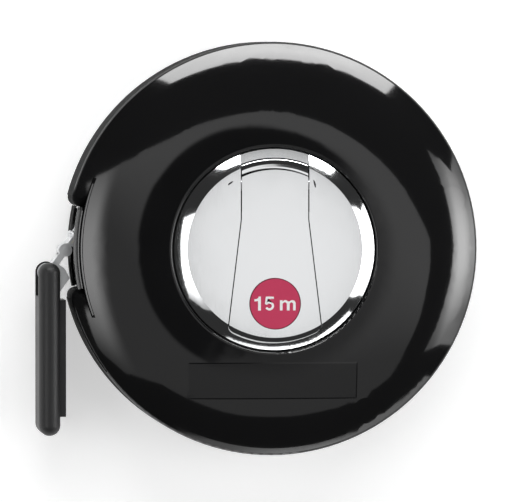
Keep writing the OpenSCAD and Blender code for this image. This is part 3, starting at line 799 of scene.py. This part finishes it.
def card_level(x, y):
    """Overhead card: brighter to its far right and left end, dark where the camera is."""
    far_right = ((y + CARD_SKEW * x - CARD_START) / CARD_SPAN).rise(0, 1)
    left = (0 - x).rise(*LEFT_RISE) * (1 - abs(y - LEFT_MID).rise(*END_FADE))
    beyond = OPEN_DIR[0] * (x - OPEN_AT[0]) + OPEN_DIR[1] * (y - OPEN_AT[1])
    clear = away(x, y, HOOD_AT, HOOD_HALF).rise(*HOOD_EDGE).most(beyond.rise(*OPEN_EDGE))
    dim = DIM_LIGHT + (1 - DIM_LIGHT) * away(x, y, DIM_AT).rise(*DIM_EDGE)
    patch = 1 - away(x, y, PATCH_AT).rise(*PATCH_EDGE)
    light = CARD_LIGHT + CARD_FAR * far_right + CARD_LEFT * left
    return light * clear * dim * (1 - patch) + PATCH_LIGHT * patch


def top_level(_, y):
    """Long softbox behind the reel, brighter at its far edge."""
    near, far = 11, 14
    return near + (far - near) * y.rise(1.1, 1.5)


def right_level(x, y):
    """Strip lamp at the right: brightest near its inner edge and in its middle."""
    inner, peak, outer = 4, 10, 5
    middle, end_loss = -0.04, 0.75
    across = inner + (peak - inner) * x.rise(1.2, 1.5) - (peak - outer) * x.rise(1.6, 2.2)
    return across * (1 - end_loss * abs(y - middle).rise(*END_FADE))


def low_level(x, y):
    """Dim strip in front of the reel, brighter to the right and at its near edge."""
    left, right, near_gain = 1.3, 2.2, 0.6
    across = left + (right - left) * x.rise(-0.4, 0.6)
    return across * (1 + near_gain * (0 - y).rise(1.66, 1.8))


# Outlines of the lamp panels, in metres from the reel's axis, and what gives their light
PANELS = {
    "overhead_card": (card_level, [
        (-1.12, 0.41), (0.11, 0.35), (0.5, 0.185), (0.78, 0.0), (0.79, -0.72), (0.62, -0.84),
        (-0.1, -0.82), (-0.42, -0.72), (-0.8, -0.84), (-1.12, -0.78),
    ]),
    "top_softbox": (top_level, [
        (-0.53, 1.08), (-0.05, 1.15), (0.16, 1.17), (0.6, 1.15), (0.98, 1.04), (1.3, 1.35),
        (1.0, 1.6), (0.2, 1.62), (-0.6, 1.52), (-0.84, 1.3),
    ]),
    "right_strip": (right_level, [
        (1.14, 0.57), (1.22, 0.31), (1.29, -0.02), (1.25, -0.24), (1.16, -0.64), (1.14, -0.7),
        (1.66, -0.86), (2.4, -1.1), (2.5, -0.05), (2.3, 1.0), (1.92, 0.84), (1.64, 0.55),
    ]),
    "low_strip": (low_level, [
        (-0.61, -1.49), (-0.32, -1.56), (0.2, -1.68), (0.6, -1.71), (0.84, -1.68), (1.31, -1.37),
        (1.57, -1.18), (1.75, -1.28), (1.45, -1.55), (0.9, -1.86), (0.2, -1.86), (-0.68, -1.68),
    ]),
}


def studio():
    """Overhead card, softbox, strips and a dark room."""
    for name, (level, outline) in PANELS.items():
        lit_panel(name, outline, level)
    world = bpy.data.worlds.new("room")
    shade = blank_tree(world)
    room = shade.node("Background", {"Color": (1, 1, 1, 1), "Strength": ROOM_LIGHT})
    shade.node("OutputWorld", {"Surface": room})
    bpy.context.scene.world = world


VIEW_LEFT = math.radians(6)
VIEW_UP = math.radians(1.75)
VIEW_FAR = 1.6
VIEW_AIM = Vector((-3.3, -0.55, 23)) * MM
VIEW_END = 20
SENSOR = 36
LENS = 462.2


def camera():
    """Long lens from above, a little to the left of the axis."""
    lens = bpy.data.cameras.new("camera")
    lens.sensor_width = SENSOR
    lens.lens = LENS
    lens.clip_end = VIEW_END
    eye = placed("camera", lens)
    back = Vector((-math.sin(VIEW_LEFT), math.sin(VIEW_UP), math.cos(VIEW_LEFT))).normalized()
    eye.location = VIEW_AIM + VIEW_FAR * back
    right = Vector((0, 1, 0)).cross(back).normalized()
    up = back.cross(right)
    eye.rotation_euler = Matrix((right, up, back)).transposed().to_euler()
    bpy.context.scene.camera = eye


rolled_flap()
length_mark()
film_label()
mouth_ridges()
pin_stakes()
tape_marks()
floor_and_wall()
studio()
camera()
bpy.context.scene.view_settings.view_transform = "Standard"
